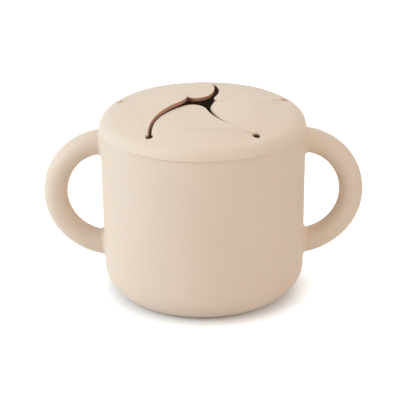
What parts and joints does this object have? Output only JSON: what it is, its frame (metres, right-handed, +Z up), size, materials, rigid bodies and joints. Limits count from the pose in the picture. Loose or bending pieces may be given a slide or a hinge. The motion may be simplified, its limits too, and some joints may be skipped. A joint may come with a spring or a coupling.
{
  "type": "toddler snack container",
  "caption": "Soft silicone snack cup with two loop handles and a push-on domed lid cut by curved slits into flaps that a small hand pushes through.",
  "frame": {"origin": "centre of the base, on the surface that the cup stands on", "axes": "+Z up along the cup's axis, +X through the right handle, -Y the front"},
  "size_m": [0.1404, 0.09, 0.0879],
  "materials": {
    "cup_silicone": "soft-touch matt silicone",
    "lid_silicone": "soft-touch matt silicone"
  },
  "bodies": {
    "cup": {"cup_body": "cup_silicone", "left_handle": "cup_silicone", "right_handle": "cup_silicone"},
    "lid": {"lid_ring": "lid_silicone"},
    "flap_front": {"flap_1": "lid_silicone"},
    "flap_front_right": {"flap_2": "lid_silicone"},
    "flap_back_right": {"flap_3": "lid_silicone"},
    "flap_back_left": {"flap_4": "lid_silicone"},
    "flap_front_left": {"flap_5": "lid_silicone"}
  },
  "joints": [
    {"name": "lid_lift", "type": "slide", "parent": "cup", "child": "lid", "axis": [0, 0, 1], "range_m": [0, 0.03]},
    {"name": "flap_front_bend", "type": "hinge", "parent": "lid", "child": "flap_front", "pos_m": [0, -0.0283, 0.08354], "axis": [-1, 0, 0], "range_deg": [-30, 75], "stiffness_Nm_per_rad": 0.01},
    {"name": "flap_front_right_bend", "type": "hinge", "parent": "lid", "child": "flap_front_right", "pos_m": [0.02692, -0.00874, 0.08354], "axis": [-0.309, -0.9511, 0], "range_deg": [-30, 75], "stiffness_Nm_per_rad": 0.01},
    {"name": "flap_back_right_bend", "type": "hinge", "parent": "lid", "child": "flap_back_right", "pos_m": [0.01663, 0.02289, 0.08354], "axis": [0.809, -0.5878, 0], "range_deg": [-30, 75], "stiffness_Nm_per_rad": 0.01},
    {"name": "flap_back_left_bend", "type": "hinge", "parent": "lid", "child": "flap_back_left", "pos_m": [-0.01663, 0.02289, 0.08354], "axis": [0.809, 0.5878, 0], "range_deg": [-30, 75], "stiffness_Nm_per_rad": 0.01},
    {"name": "flap_front_left_bend", "type": "hinge", "parent": "lid", "child": "flap_front_left", "pos_m": [-0.02692, -0.00874, 0.08354], "axis": [-0.309, 0.9511, 0], "range_deg": [-30, 75], "stiffness_Nm_per_rad": 0.01}
  ]
}
